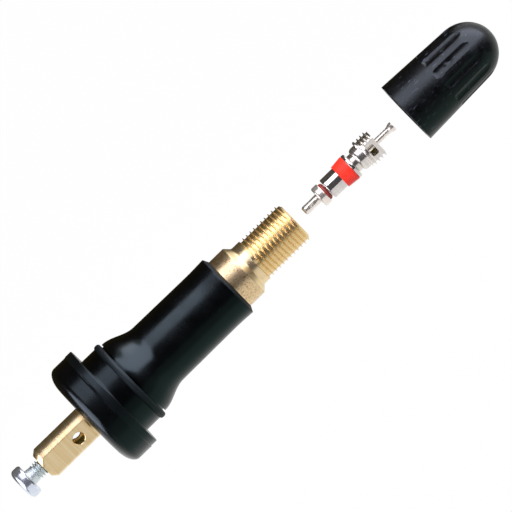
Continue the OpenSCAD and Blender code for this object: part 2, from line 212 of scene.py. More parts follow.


# A finished piece stands for one solid, takes its material and rides that solid's body
def finishPiece(piece, node, material, kind):
    lit[kind].objects.link(piece)
    piece.data.materials.clear()
    piece.data.materials.append(material)
    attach(piece, bodyOf[node])
    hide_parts(node)
    print("piece:", piece.name, len(piece.data.polygons), "faces")
    return piece


# A finished piece straight from a grid of points
def gridPiece(name, node, points, material, kind, loop=False, sharpAbove=32):
    piece = addObject(name, smoothed(gridMesh(name, points, loop), sharpAbove))
    return finishPiece(piece, node, material, kind)


# Adds a node. Settings go on its sockets, or on the node where it has no such socket.
def addNode(tree, kind, settings, links=None):
    node = tree.nodes.new(kind)
    for key, value in settings.items():
        if isinstance(key, int) or key in node.inputs:
            node.inputs[key].default_value = value
        else:
            setattr(node, key, value)
    for socket, source in (links or {}).items():
        tree.links.new(source, node.inputs[socket])
    return node


# A new material with its shader and a pattern space in mm
def newMaterial(name, settings):
    material = bpy.data.materials.new(name)
    material.use_nodes = True
    tree = material.node_tree
    tree.nodes.clear()
    shader = addNode(tree, "ShaderNodeBsdfPrincipled", settings)
    addNode(tree, "ShaderNodeOutputMaterial", {}, {"Surface": shader.outputs["BSDF"]})
    place = addNode(tree, "ShaderNodeTexCoord", {}).outputs["Object"]
    space = addNode(tree, "ShaderNodeMapping", {"Scale": (1000, 1000, 1000)}, {"Vector": place})
    return material, tree, shader, space.outputs["Vector"]


# 1 where the pattern space's x lies between two values, else 0
def bandMask(tree, space, fromX, toX):
    x = addNode(tree, "ShaderNodeSeparateXYZ", {}, {"Vector": space}).outputs["X"]
    settings = {"operation": "COMPARE", 1: (fromX + toX) / 2, 2: (toX - fromX) / 2}
    return addNode(tree, "ShaderNodeMath", settings, {0: x}).outputs["Value"]


# A gloss that runs between a look's two values as a pattern rises
def glossOver(tree, look, pattern):
    settings = {"From Min": 0.3, "From Max": 0.7, "To Min": look["gloss"][0], "To Max": look["gloss"][1]}
    return addNode(tree, "ShaderNodeMapRange", settings, {"Value": pattern}).outputs["Result"]


# Colour, gloss and bumps of a shader
def dress(tree, shader, tint, rough, bump):
    tree.links.new(tint, shader.inputs["Base Color"])
    tree.links.new(rough, shader.inputs["Roughness"])
    tree.links.new(bump.outputs["Normal"], shader.inputs["Normal"])


# A black moulding: mottled tone, specks of dust, a gloss that varies with the mottle, and a fine grain. It
# may have slanting scratches, and bands of it may be greyer and rougher.
def blackMoulding(name, look):
    material, tree, shader, space = newMaterial(name, {
        "IOR": 1.5, "Metallic": 0, "Specular IOR Level": look["sheen"],
        "Specular Tint": linear(look["sheenTint"])})
    smear = addNode(tree, "ShaderNodeTexNoise", {"Scale": 1 / look["smear"], "Detail": 5, "Roughness": 0.62},
                    {"Vector": space}).outputs["Fac"]
    tint = addNode(tree, "ShaderNodeMix",
                   {"data_type": "RGBA", "A": linear(look["dark"]), "B": linear(look["pale"])},
                   {"Factor": smear}).outputs["Result"]
    speck = addNode(tree, "ShaderNodeTexVoronoi", {"Scale": 1 / look["dustGap"]}, {"Vector": space})
    isDust = addNode(tree, "ShaderNodeMapRange",
                     {"From Min": look["dustSize"], "From Max": look["dustSize"] * 0.6},
                     {"Value": speck.outputs["Distance"]}).outputs["Result"]
    tint = addNode(tree, "ShaderNodeMix", {"data_type": "RGBA", "B": linear(look["dust"])},
                   {"Factor": isDust, "A": tint}).outputs["Result"]
    if "scratch" in look:
        scratch = look["scratch"]
        slant = addNode(tree, "ShaderNodeMapping",
                        {"Rotation": (0, 0, scratch["slantRadians"]), "Scale": scratch["perMm"]},
                        {"Vector": space})
        streak = addNode(tree, "ShaderNodeTexNoise", {"Scale": 1.0, "Detail": 1},
                         {"Vector": slant.outputs["Vector"]})
        isScratch = addNode(tree, "ShaderNodeMapRange",
                            {"From Min": scratch["levels"][0], "From Max": scratch["levels"][1]},
                            {"Value": streak.outputs["Fac"]}).outputs["Result"]
        tint = addNode(tree, "ShaderNodeMix", {"data_type": "RGBA", "B": linear(scratch["colour"])},
                       {"Factor": isScratch, "A": tint}).outputs["Result"]
    rough = glossOver(tree, look, smear)
    for band in look["bands"]:
        isBand = bandMask(tree, space, *band["along"])
        tint = addNode(tree, "ShaderNodeMix", {"data_type": "RGBA", "B": linear(band["grey"])},
                       {"Factor": isBand, "A": tint}).outputs["Result"]
        rough = addNode(tree, "ShaderNodeMath", {"operation": "MULTIPLY_ADD", 1: band["rougher"]},
                        {0: isBand, 2: rough}).outputs["Value"]
    grain = addNode(tree, "ShaderNodeTexNoise", {"Scale": 1 / look["grain"], "Detail": 3}, {"Vector": space})
    bump = addNode(tree, "ShaderNodeBump", {"Strength": look["grainStrength"], "Distance": 0.03 * mm},
                   {"Height": grain.outputs["Fac"]})
    dress(tree, shader, tint, rough, bump)
    return material


# A metal turned on a lathe. The tool's rings round the axis are too fine to show one by one and only soften
# the gloss, so the streaks of its passes are drawn wider than they are. Patches are a little duller, and
# bands may have a colour, darker dashes and a roughness of their own. On the brass thread's band the colour
# and dashes are a painted reflection of light bouncing in its grooves; on the shoulder they are wear and
# pits.
def turnedMetal(name, look):
    material, tree, shader, space = newMaterial(name, {"Metallic": look["metallic"]})
    patch = addNode(tree, "ShaderNodeTexNoise", {"Scale": 1 / look["patch"], "Detail": 4, "Roughness": 0.6},
                    {"Vector": space}).outputs["Fac"]
    passes = addNode(tree, "ShaderNodeMapping", {"Scale": (1 / look["toolPass"], 0.1, 0.1)},
                     {"Vector": space})
    streak = addNode(tree, "ShaderNodeTexNoise", {"Scale": 1.0, "Detail": 2},
                     {"Vector": passes.outputs["Vector"]})
    spread = addNode(tree, "ShaderNodeMapRange", {"From Min": 0.35, "From Max": 0.65},
                     {"Value": streak.outputs["Fac"]})
    mottle = addNode(tree, "ShaderNodeMix", {"data_type": "FLOAT", "Factor": 0.6},
                     {"A": patch, "B": spread.outputs["Result"]})
    tint = addNode(tree, "ShaderNodeMix",
                   {"data_type": "RGBA", "A": linear(look["deep"]), "B": linear(look["light"])},
                   {"Factor": mottle.outputs["Result"]}).outputs["Result"]
    rough = glossOver(tree, look, patch)
    for band in look.get("bands", []):
        isBand = bandMask(tree, space, *band["along"])
        dashes = addNode(tree, "ShaderNodeMapping", {"Scale": (3.0, 7.0, 7.0)}, {"Vector": space})
        dashNoise = addNode(tree, "ShaderNodeTexNoise", {"Scale": 1.0, "Detail": 3},
                       {"Vector": dashes.outputs["Vector"]})
        isDash = addNode(tree, "ShaderNodeMapRange", {"From Min": 0.52, "From Max": 0.66},
                        {"Value": dashNoise.outputs["Fac"]})
        # On the brass thread's band this colour is a painted reflection of light bouncing in the grooves
        bandTint = addNode(tree, "ShaderNodeMix",
                       {"data_type": "RGBA", "A": linear(band["colour"]), "B": linear(band["dashColour"])},
                       {"Factor": isDash.outputs["Result"]})
        tint = addNode(tree, "ShaderNodeMix", {"data_type": "RGBA"},
                       {"Factor": isBand, "A": tint, "B": bandTint.outputs["Result"]}).outputs["Result"]
        rough = addNode(tree, "ShaderNodeMath", {"operation": "MULTIPLY_ADD", 1: band["rougher"]},
                        {0: isBand, 2: rough}).outputs["Value"]
    marks = addNode(tree, "ShaderNodeMapping", {"Scale": (1 / look["toolMark"], 0.15, 0.15)},
                    {"Vector": space})
    rings = addNode(tree, "ShaderNodeTexNoise", {"Scale": 1.0, "Detail": 2},
                    {"Vector": marks.outputs["Vector"]})
    bump = addNode(tree, "ShaderNodeBump", {"Strength": look["markStrength"], "Distance": 0.02 * mm},
                   {"Height": rings.outputs["Fac"]})
    dress(tree, shader, tint, rough, bump)
    return material


# A plain moulded or cut polymer with a light mottle
def mouldedPolymer(name, look):
    material, tree, shader, space = newMaterial(name, {
        "IOR": look["ior"], "Metallic": 0, "Roughness": look["gloss"]})
    mottle = addNode(tree, "ShaderNodeTexNoise", {"Scale": 1 / look["mottle"], "Detail": 3},
                     {"Vector": space}).outputs["Fac"]
    colour = addNode(tree, "ShaderNodeMix",
                     {"data_type": "RGBA", "A": linear(look["deep"]), "B": linear(look["light"])},
                     {"Factor": mottle})
    bump = addNode(tree, "ShaderNodeBump", {"Strength": 0.2, "Distance": 0.02 * mm}, {"Height": mottle})
    tree.links.new(colour.outputs["Result"], shader.inputs["Base Color"])
    tree.links.new(bump.outputs["Normal"], shader.inputs["Normal"])
    return material


# Vulcanised rubber from a polished mould: near black with a soft bluish sheen and paler handling smears. The
# front band of the flange comes from the other mould half and is duller, and its slightly greyer tone is a
# painted sheen. The bead and the end bevel are matt.
rubberBlack = blackMoulding("vulcanisedRubberMoulded", {
    "dark": "#010101", "pale": "#030303", "dust": "#1c1e1f", "smear": 3.0, "grain": 0.16,
    "grainStrength": 0.17, "dustGap": 1.1, "dustSize": 0.05, "gloss": (0.19, 0.3), "sheen": 0.19,
    "sheenTint": "#e4fffa",
    # Painted sheen: the flange's front band is a little greyer than the rest; its added roughness is real
    "bands": [{"along": (-1.4, 0.05), "grey": "#040505", "rougher": 0.05},
              {"along": (2.85, 4.02), "grey": "#040505", "rougher": 0.3},
              {"along": (25.2, 25.9), "grey": "#020202", "rougher": 0.35}]})
# Polypropylene, moulded and satin: black with a broad blotchy sheen, fine pocks, slanting scratches about
# 1.4 mm long and 0.1 mm wide, and a grey band on the mouth's rim that is a painted highlight
capBlack = blackMoulding("polypropyleneMouldedSatin", {
    "dark": "#020202", "pale": "#050505", "dust": "#44464a", "smear": 1.6, "grain": 0.3,
    "grainStrength": 0.5, "dustGap": 0.8, "dustSize": 0.08, "gloss": (0.25, 0.37), "sheen": 0.18,
    "sheenTint": "#f0fdf6",
    "scratch": {"colour": "#34383c", "slantRadians": 0.7, "perMm": (0.7, 9.0, 2.0), "levels": (0.68, 0.76)},
    # Painted highlight: a grey band round the mouth's rim, standing in for the light its edge catches
    "bands": [{"along": (62.8, 63.1), "grey": "#4a5256", "rougher": 0.1}]})
# Brass bar turned with a sharp tool: pale yellow with fine rings. Handling has dulled and pitted the
# shoulder. The thread's band is painted a deeper gold with darker dashes, a painted reflection of the light
# that bounces in its grooves.
brassTurned = turnedMetal("brassTurned", {
    "deep": "#e2c58c", "light": "#f3e0b4", "patch": 2.0, "toolMark": 0.06, "toolPass": 0.5,
    "gloss": (0.27, 0.33), "markStrength": 0.015, "metallic": 0.96,
    "bands": [{"along": (25.2, 28.95), "colour": "#e8cfa2", "dashColour": "#a8874f", "rougher": 0.03},
              # Painted reflection: the thread's deeper gold and darker dashes stand in for light bouncing in
              # its grooves
              {"along": (31.2, 42.0), "colour": "#ecd094", "dashColour": "#e2c07c", "rougher": 0.03}]})
# Bright nickel on turned brass: a near mirror on the barrel
nickelPlate = turnedMetal("nickelPlatedBright", {
    "deep": "#c4bfb8", "light": "#e2dfda", "patch": 1.2, "toolMark": 0.08, "toolPass": 0.6,
    "gloss": (0.07, 0.14), "markStrength": 0.1, "metallic": 0.94})
# The same plate over a cut thread: softer, as the plating rounds every edge
nickelSoft = turnedMetal("nickelPlatedSoft", {
    "deep": "#d2ccc2", "light": "#eae6df", "patch": 1.2, "toolMark": 0.08, "toolPass": 0.6,
    "gloss": (0.17, 0.25), "markStrength": 0.02, "metallic": 0.92})
# The same plate on drawn and headed pieces: pale satin, with soft gradients
nickelSatin = turnedMetal("nickelPlatedSatin", {
    "deep": "#e8dfd0", "light": "#f6f0e6", "patch": 2.0, "toolMark": 0.08, "toolPass": 0.6,
    "gloss": (0.2, 0.27), "markStrength": 0.01, "metallic": 0.8})
# Zinc plate on a headed screw: bluish white and bright on the head, greyer and dull on the rolled thread
zincPlate = turnedMetal("zincPlatedSteel", {
    "deep": "#d2dbe6", "light": "#ecf2f8", "patch": 2.0, "toolMark": 0.12, "toolPass": 0.8,
    "gloss": (0.2, 0.26), "markStrength": 0.005, "metallic": 0.88,
    "bands": [{"along": (-18.7, -13.5), "colour": "#dde6e6", "dashColour": "#c4d2d0", "rougher": 0.24}]})
# Drawn steel wire: mid grey, seen only through openings
springSteel = turnedMetal("springSteelDrawn", {
    "deep": "#86888c", "light": "#a9abb0", "patch": 0.8, "toolMark": 0.2, "toolPass": 0.8,
    "gloss": (0.2, 0.3), "markStrength": 0.1, "metallic": 1.0})
# Sealing polymer, coloured through and moulded: an even bright red with a faint sheen
redSeal = mouldedPolymer("sealPolymerRed", {
    "deep": "#ee2b1b", "light": "#f63f2f", "mottle": 1.5, "gloss": 0.4, "ior": 1.35})
# Nitrile rubber, moulded: a dull red-brown
brownWasher = mouldedPolymer("nitrileRubberBrown", {
    "deep": "#7a2218", "light": "#9a3424", "mottle": 0.4, "gloss": 0.5, "ior": 1.5})
# Nitrile rubber, cut from sheet: a dull dark grey
greyGasket = mouldedPolymer("nitrileRubberGrey", {
    "deep": "#242526", "light": "#313234", "mottle": 0.5, "gloss": 0.55, "ior": 1.5})
print("materials:", len(bpy.data.materials))

# Lengths of the brass that the rubber is bonded to, shared by both pieces
bond = {"root": 3.5, "ribTop": 4.3, "ribDeep": 0.5, "ribs": 4, "flareLen": 3.0, "bevel": 0.5}
rubberFirst, rubberLast, flangeR = reach("rubber_body")
stemFirst, stemLast, shoulderR = reach("valve_stem")


# The brass outline inside the rubber, from its base to its end: a plain root, a cone, ribs and the flare to
# the shoulder
def bondOutline(grooveWidth, neckX):
    deep = bond["ribTop"] - bond["ribDeep"]
    flareX = rubberLast - bond["bevel"] - bond["flareLen"]
    pitch = (flareX - neckX) / (bond["ribs"] + 0.5)
    starts = neckX + pitch * (np.arange(bond["ribs"])[:, None] + 0.3 + 0.2 * np.arange(4))
    heights = np.tile([deep, bond["ribTop"], bond["ribTop"], deep], bond["ribs"])
    ribs = list(zip(starts.ravel(), heights))
    root = [(rubberFirst, bond["root"]), (grooveWidth, bond["root"]), (neckX, deep)]
    flare = [(flareX, deep), (flareX + bond["flareLen"] / 2, shoulderR), (rubberLast, shoulderR)]
    return root + ribs + flare


rubber = {"baseRound": (1.8, 3.2), "grooveR": 7.55, "grooveWidth": 2.9, "beadR": 7.875, "beadWidth": 1.1,
          "reliefWidth": 0.3, "reliefR": 6.9, "waistR": 7.3, "waistEdge": 0.03, "blend": 5.55, "neckR": 5.78,
          "slimR": 5.68, "slimRound": 1.5, "lipR": 5.82, "lipRound": 0.12, "flangeRound": 0.15,
          "grooveRound": 0.12, "seamX": -1.4, "seamFlash": 0.05, "seamWidth": 0.1, "halfShift": 0.1,
          "rimBand": 0.2, "faceFrom": 0.5, "segments": 192}


# The moulded body: elliptic base edge, flat flange front, groove, half-round bead, relief, a cosine step down
# to the neck and a lip. The front part of the flange is the other mould half, shifted a little, with a thin
# flash between.
def rubberBody():
    grooveX = rubber["grooveWidth"]
    grooveR = rubber["grooveR"]
    waistX = grooveX + rubber["beadWidth"] + rubber["reliefWidth"]
    t = np.linspace(0, np.pi / 2, 20)
    roundX, roundR = rubber["baseRound"]
    baseX = rubberFirst + roundX * (1 - np.cos(t))
    baseR = flangeR - roundR * (1 - np.sin(t))
    flangeX, flangeLine = profileOf([
        (baseX[-1], flangeR, 0, 0.1), (0, flangeR, rubber["flangeRound"], 0.3),
        (0, grooveR, rubber["grooveRound"], 0.3), (grooveX, grooveR, 0, 0.1)])
    t = np.linspace(0, np.pi, 17)
    beadX = grooveX + rubber["beadWidth"] * (1 - np.cos(t)) / 2
    beadR = grooveR + (rubber["beadR"] - grooveR) * np.sin(t)
    reliefX, reliefLine = profileOf([
        (beadX[-1], rubber["reliefR"], 0, 0.1), (waistX, rubber["reliefR"], 0, 0.1),
        (waistX, rubber["waistR"] - rubber["waistEdge"], 0, 0.1)])
    t = np.linspace(0, 1, 40)
    stepX = waistX + rubber["blend"] * t
    stepR = rubber["neckR"] + (rubber["waistR"] - rubber["neckR"]) * (1 + np.cos(np.pi * t)) / 2
    neckX = stepX[-1]
    lipX = rubberLast - bond["bevel"]
    endX, endR = profileOf([
        (neckX, rubber["neckR"], 0, 0.5),
        (lipX - bond["flareLen"], rubber["slimR"], rubber["slimRound"], 0.3),
        (lipX, rubber["lipR"], rubber["lipRound"], 0.1), (rubberLast, shoulderR, 0, 0.3)])
    inside = np.array(bondOutline(grooveX, neckX))[-2:0:-1]
    x = np.concatenate([[rubberFirst], baseX, flangeX, beadX, reliefX, stepX, endX[1:], inside[:, 0]])
    r = np.concatenate([[bond["root"]], baseR, flangeLine, beadR, reliefLine, stepR, endR[1:], inside[:, 1]])
    onRim = np.abs(r - flangeR) < rubber["rimBand"]
    r = r + onRim * rubber["seamFlash"] * np.exp(-((x - rubber["seamX"]) / rubber["seamWidth"]) ** 2)
    points = revolve(x, r, roundAngles(rubber["segments"]))
    onFace = (x == 0) & (r > grooveR + rubber["faceFrom"])
    shifted = onRim & (x > rubber["seamX"] + rubber["seamWidth"]) | onFace
    points[shifted, :, 1] += rubber["halfShift"]
    return gridPiece("rubberBodyMoulded", "rubber_body", points, rubberBlack, "black", loop=True)


rubberBody()

stem = {"threadR": 3.85, "threadRoot": 3.5, "pitch": 0.794, "threadStart": 14.5, "threadLead": 0.4,
        "crestFlat": 0.06, "rootFlat": 0.64, "plain": 1.1, "shoulderLen": 3.05, "shoulderRound": 0.12,
        "coneRound": 0.25, "mouthChamfer": (0.5, 0.8), "mouthLead": (0.23, 0.22), "tailR": 2.9,
        "tailFlat": 2.15, "tailCollar": 0.45, "tailChamfer": (0.85, 0.7), "airHoleR": 1.05, "airHoleIn": 3.0,
        "airEdgeHalf": 0.06, "airEdgeWide": (0.12, 0.2), "airBackR": 1.6, "airBackIn": 0.9, "passageR": 1.2,
        "passageOver": 0.1, "passageCone": 0.8, "screwHoleR": 1.53, "screwHoleDepth": 5.1, "plugBoreR": 2.7,
        "plugPitch": 0.706, "innerThreadDeep": 0.2, "innerThreadIn": (1.4, 1.5), "collarRoom": (0.05, 0.36),
        "collarBoreR": 2.39, "seatR": 2.16, "chamberR": 2.0, "chamberRoom": 1.8, "pinBelow": 0.3,
        "segments": 160}


# The turned stem, one profile from the bottom of the screw hole, over the outside and back down the core bore
# to the end of the air passage, with both threads cut in it, two flats on the tail and an air hole across
def brassStem():
    angles = roundAngles(stem["segments"])
    threadR = stem["threadR"]
    plugBoreR = stem["plugBoreR"]
    chamferX, chamferR = stem["tailChamfer"]
    mouthX, mouthR = stem["mouthChamfer"]
    leadX, leadR = stem["mouthLead"]
    waistX = rubber["grooveWidth"] + rubber["beadWidth"] + rubber["reliefWidth"]
    bonded = bondOutline(rubber["grooveWidth"], waistX + rubber["blend"])
    shoulderX = rubberLast + stem["shoulderLen"]
    coneX = shoulderX + shoulderR - threadR
    threadX = coneX + stem["plain"]
    holeX = stemFirst + stem["screwHoleDepth"]
    flatsX = rubberFirst - stem["tailCollar"]
    airX = rubberFirst - stem["airHoleIn"]
    passageX = airX - stem["airHoleR"] - stem["passageOver"]
    tailX, tailR = profileOf([
        (holeX, 0), (holeX, stem["screwHoleR"]), (stemFirst, stem["screwHoleR"], 0.12),
        (stemFirst, stem["tailR"] - chamferR, 0.05), (stemFirst + chamferX, stem["tailR"], 0.05),
        (flatsX, stem["tailR"])])
    flatLimit = stem["tailFlat"] / np.maximum(np.abs(np.cos(angles)), 1e-6)
    tailRings = np.minimum(tailR[:, None], flatLimit[None])
    midX, midR = profileOf([
        (flatsX, stem["tailR"]), (rubberFirst, stem["tailR"]), *bonded[:-1],
        (shoulderX, shoulderR, stem["shoulderRound"], 0.3), (coneX, threadR, stem["coneRound"], 0.3),
        (threadX, threadR)])
    cutX, cutR = profileOf([
        (threadX, threadR, 0, 0.04), (stemLast - mouthX, threadR, 0.1, 0.04),
        (stemLast, threadR - mouthR, 0.06, 0.1), (stemLast, plugBoreR + leadR, 0.05, 0.1),
        (stemLast - leadX, plugBoreR)])
    cut = threadCut(cutX, angles, threadX + stem["threadLead"], stemLast + stem["pitch"], stem["pitch"],
                    stem["threadStart"], stem["crestFlat"], stem["rootFlat"])
    cutRings = np.minimum(cutR[:, None], threadR - (threadR - stem["threadRoot"]) * cut)
    coreLast = reach("core_pin")[1]
    home = stemLast - stem["pinBelow"] - coreLast  # how far the core goes to its seat
    collarX = reach("core_barrel")[1] + home
    sealFirst, sealLast, _ = reach("core_seal")
    chamberX = reach("core_cup")[0] + home - stem["chamberRoom"]
    collarIn, collarOut = stem["collarRoom"]
    boreX, boreR = profileOf([
        (stemLast - leadX, plugBoreR, 0, 0.07), (collarX + collarOut, plugBoreR, 0, 0.3)])
    deepEnd, mouthEnd = stem["innerThreadIn"]
    groove = threadCut(boreX, angles, collarX + deepEnd, stemLast - mouthEnd, stem["plugPitch"])
    boreRings = boreR[:, None] + stem["innerThreadDeep"] * groove
    innerX, innerR = profileOf([
        (collarX + collarIn, stem["collarBoreR"]), (sealLast + home, stem["collarBoreR"]),
        (sealFirst + home, stem["seatR"]), (sealFirst + home, stem["chamberR"]), (chamberX, stem["chamberR"]),
        (chamberX - stem["passageCone"], stem["passageR"]), (passageX, stem["passageR"]), (passageX, 0)])
    x = np.concatenate([tailX, midX, cutX[1:], boreX[1:], innerX])
    r = np.vstack([tailRings, plainRings(midR, angles), cutRings[1:], boreRings[1:],
                   plainRings(innerR, angles)])
    piece = addObject("brassStemTurned", gridMesh("brassStemTurned", revolve(x, r, angles)))
    cutAway(piece, [airDrill(airX)])
    return finishPiece(piece, "valve_stem", brassTurned, "brass")


# The cutter of the air hole: rings about an upright line, wide at the back, then the hole and its eased edge
def airDrill(airX):
    t = roundAngles(64)
    out = stem["tailR"]
    back = stem["airBackIn"]
    flat = stem["tailFlat"]
    half = stem["airEdgeHalf"]
    hole = stem["airHoleR"]
    wider, widest = stem["airEdgeWide"]
    level = np.array([-out, -out, -back, -back, flat - half, flat + half, out, out])
    wide = np.array([0, stem["airBackR"], stem["airBackR"], hole, hole, hole + wider, hole + widest, 0])
    points = np.stack([airX + wide[:, None] * np.cos(t), wide[:, None] * np.sin(t), plainRings(level, t)], -1)
    return addObject("airDrill", gridMesh("airDrill", points[::-1]))


brassStem()

screw = {"headR": 2.8, "headHeight": 2.1, "headEdge": (0.35, 0.25), "crown": 1.2, "crownPower": 3.5,
         "driveR": 1.35, "driveDeep": 1.1, "driveWave": 0.17, "driveEdge": 0.05, "driveCone": 0.1, "lobes": 6,
         "lobeFade": 0.5, "neckR": 1.37, "neckEndR": 1.28, "neckLen": 1.1, "threadRoot": 1.08,
         "threadR": 1.45, "pitch": 0.5, "threadLead": 0.3, "threadIn": 0.1, "threadStep": 0.036, "tip": 0.35,
         "segments": 96}


# The pan-head screw: six-lobed recess, a head whose edge is a superellipse, fillet, plain neck and thread
def sensorScrew():
    angles = roundAngles(screw["segments"])
    first, last, _ = reach("sensor_screw")
    seatX = first + screw["headHeight"]
    neckX = seatX + screw["neckLen"]
    floorX = first + screw["driveDeep"]
    edge = screw["driveEdge"]
    power = 2 / screw["crownPower"]
    startT = math.asin(((screw["driveR"] + edge) / screw["headR"]) ** (1 / power))
    t = startT + (np.pi / 2 - startT) * np.sin(np.linspace(0, np.pi / 2, 30))
    crownX = first + screw["crown"] * (1 - np.abs(np.cos(t)) ** power)
    crownR = screw["headR"] * np.sin(t) ** power
    driveX, driveR = profileOf([
        (floorX + screw["driveCone"], 0), (floorX, screw["driveR"] - edge, edge, 0.4),
        (crownX[0] + edge, screw["driveR"])])
    edgeX, edgeR = screw["headEdge"]
    shankX, shankR = profileOf([
        (seatX - edgeX, screw["headR"], 0.05), (seatX, screw["headR"] - edgeR, 0.15),
        (seatX, screw["neckR"], 0.2), (neckX, screw["neckEndR"], 0.1),
        (neckX + screw["threadLead"], screw["threadR"], 0.05, screw["threadStep"]),
        (last - screw["tip"], screw["threadR"], 0.05, screw["threadStep"]),
        (last, screw["threadR"] - screw["tip"], 0.05), (last, 0)])
    cut = threadCut(shankX, angles, neckX + screw["threadIn"], last - screw["threadIn"], screw["pitch"])
    deep = np.clip(shankR - screw["threadRoot"], 0, None)
    shankRings = shankR[:, None] - deep[:, None] * cut * (shankX > neckX)[:, None]
    lobes = screw["driveWave"] * (np.cos(screw["lobes"] * angles) - 1)
    driveRings = driveR[:, None] + lobes[None] * (driveR / screw["driveR"])[:, None]
    settle = np.clip(1 - (crownR - crownR[0]) / screw["lobeFade"], 0, 1)
    crownRings = crownR[:, None] + lobes[None] * settle[:, None]
    x = np.concatenate([driveX, crownX, shankX])
    points = revolve(x, np.vstack([driveRings, crownRings, shankRings]), angles)
    return gridPiece("sensorScrewPanHead", "sensor_screw", points, zincPlate, "plated")


sensorScrew()

cap = {"mouthR": 4.9, "boreR": 3.93, "domeR": 5.17, "domeLen": 5.6, "topThick": 3.3, "shoulderDepth": 3.08,
       "flutes": 12, "fluteStart": 7.0, "fluteCutR": 1.8, "fluteDeep": 0.22, "fluteEnd": 0.5, "fluteTurn": 7,
       "edgeSoft": 0.02, "mouthEdge": 0.1, "pitch": 0.794, "innerThreadDeep": 0.3, "threadTop": 1.6,
       "threadEnd": 1.8, "threadLead": 0.3, "threadRows": 90, "nickIn": 10.7, "nickAt": 38.0,
       "nickDeep": 0.14, "nickHalf": (0.45, 3.5), "burrBack": 0.9, "burrHalf": (0.2, 3), "burrShare": 0.5,
       "segments": 288}


# Radius that a flute cutter leaves at an angle from its middle: a round bar laid along the tapered wall,
# whose near side lies at the flute's floor and whose end is a cone of 45 degrees
def fluteRadius(x, angles, first, baseR, drop):
    startX = first + cap["fluteStart"]
    barR = cap["fluteCutR"] - np.clip(startX + cap["fluteEnd"] - x, 0, cap["fluteEnd"])
    middle = (baseR - drop * (x - first) - cap["fluteDeep"] + cap["fluteCutR"])[:, None]
    each = 2 * np.pi / cap["flutes"]
    off = (angles - math.radians(cap["fluteTurn"]) + each / 2) % each - each / 2
    inside = barR[:, None] ** 2 - (middle * np.sin(off[None])) ** 2
    near = middle * np.cos(off[None]) - np.sqrt(np.maximum(inside, 0))
    farOut = 99.0
    return np.where((inside > 0) & (x[:, None] > startX), near, farOut)


# The cap: threaded bore, mouth, tapered wall and half-ellipse dome, with the flutes taken off by a soft
# minimum and one nick with a raised burr, both bell curves along the cap in mm and round it in degrees
def domeCap():
    angles = roundAngles(cap["segments"])
    first, last, baseR = reach("cap")
    boreEnd = last - cap["topThick"]
    mouthX = first + cap["shoulderDepth"]
    coneX = mouthX + cap["mouthR"] - cap["boreR"]
    domeStart = last - cap["domeLen"]
    boreX, boreR = profileOf([(boreEnd, 0), (boreEnd, cap["boreR"], 0.1), (coneX, cap["boreR"], 0, 0.2)])
    threadX = np.linspace(boreEnd - cap["threadTop"], coneX + 0.1, cap["threadRows"])
    groove = threadCut(threadX, angles, coneX + cap["threadLead"], boreEnd - cap["threadEnd"], cap["pitch"])
    threadRings = cap["boreR"] + cap["innerThreadDeep"] * groove
    wallX, wallR = profileOf([
        (coneX, cap["boreR"]), (mouthX, cap["mouthR"]), (first, cap["mouthR"], 0.1),
        (first, baseR, cap["mouthEdge"], 0.2), (domeStart, cap["domeR"], 0, 0.1)], 0.11)
    t = np.linspace(np.pi / 2, 0, 46)[1:]
    domeX = last - cap["domeLen"] * (1 - np.cos(t))
    domeR = cap["domeR"] * np.sin(t)
    outerX = np.concatenate([wallX, domeX])
    outerR = np.concatenate([wallR, domeR])[:, None]
    drop = (baseR - cap["domeR"]) / (domeStart - first)
    cutter = fluteRadius(outerX, angles, first, baseR, drop)
    soft = cap["edgeSoft"]
    gap = np.clip(0.5 + 0.5 * (cutter - outerR) / soft, 0, 1)
    fluted = cutter * (1 - gap) + outerR * gap - soft * gap * (1 - gap)
    isFluted = (outerX > first + cap["fluteStart"])[:, None]
    outer = np.where(isFluted, np.minimum(fluted, outerR), outerR)
    along = (outerX - first - cap["nickIn"])[:, None]
    aside = (np.degrees(angles) - cap["nickAt"])[None]
    nickX, nickTurn = cap["nickHalf"]
    burrX, burrTurn = cap["burrHalf"]
    nick = np.exp(-(along / nickX) ** 2 - (aside / nickTurn) ** 2)
    burr = np.exp(-((along + cap["burrBack"]) / burrX) ** 2 - (aside / burrTurn) ** 2)
    outer = outer - cap["nickDeep"] * (nick - cap["burrShare"] * burr)
    isTop = boreX > boreEnd - cap["threadTop"]
    x = np.concatenate([boreX[isTop], threadX, outerX])
    r = np.vstack([plainRings(boreR[isTop], angles), threadRings, outer])
    return gridPiece("domeCapFluted", "cap", revolve(x, r, angles), capBlack, "black")


domeCap()

gasket = {"edge": 0.12, "segments": 96}


# The cap's sealing disc, a rounded rectangle turned about the axis
def capGasket():
    first, last, r = reach("cap_gasket")
    x, line = profileOf([(first, 0), (first, r, gasket["edge"]), (last, r, gasket["edge"]), (last, 0)], 0.4)
    points = revolve(x, line, roundAngles(gasket["segments"]))
    return gridPiece("capGasketDisc", "cap_gasket", points, greyGasket, "other")


capGasket()

# Lengths that pieces of the core share: pin, air way, the plug's foot in its barrel, and the play between
core = {"pinR": 0.55, "airR": 0.75, "barrelR": 1.88, "footR": 1.43, "footNeckR": 1.15, "footHeight": 0.65,
        "lip": 0.325, "gap": 0.05, "sideGap": 0.06, "segments": 96}
pinBore = core["pinR"] + core["sideGap"] / 2


# A piece of the core whose profile is turned about the axis
def corePiece(name, node, corners, material, kind="plated", loop=True, step=0.3):
    x, r = profileOf(corners, step)
    points = revolve(x, r, roundAngles(core["segments"]))
    return gridPiece(name, node, points, material, kind, loop)


pin = {"headR": 0.83, "headLen": 1.1, "headFlare": 0.62, "seatR": 1.28, "seatThick": 0.35, "markIn": 0.3,
       "markGap": 0.5, "markHalf": 0.09, "markFloor": 0.04, "markDeep": 0.06}


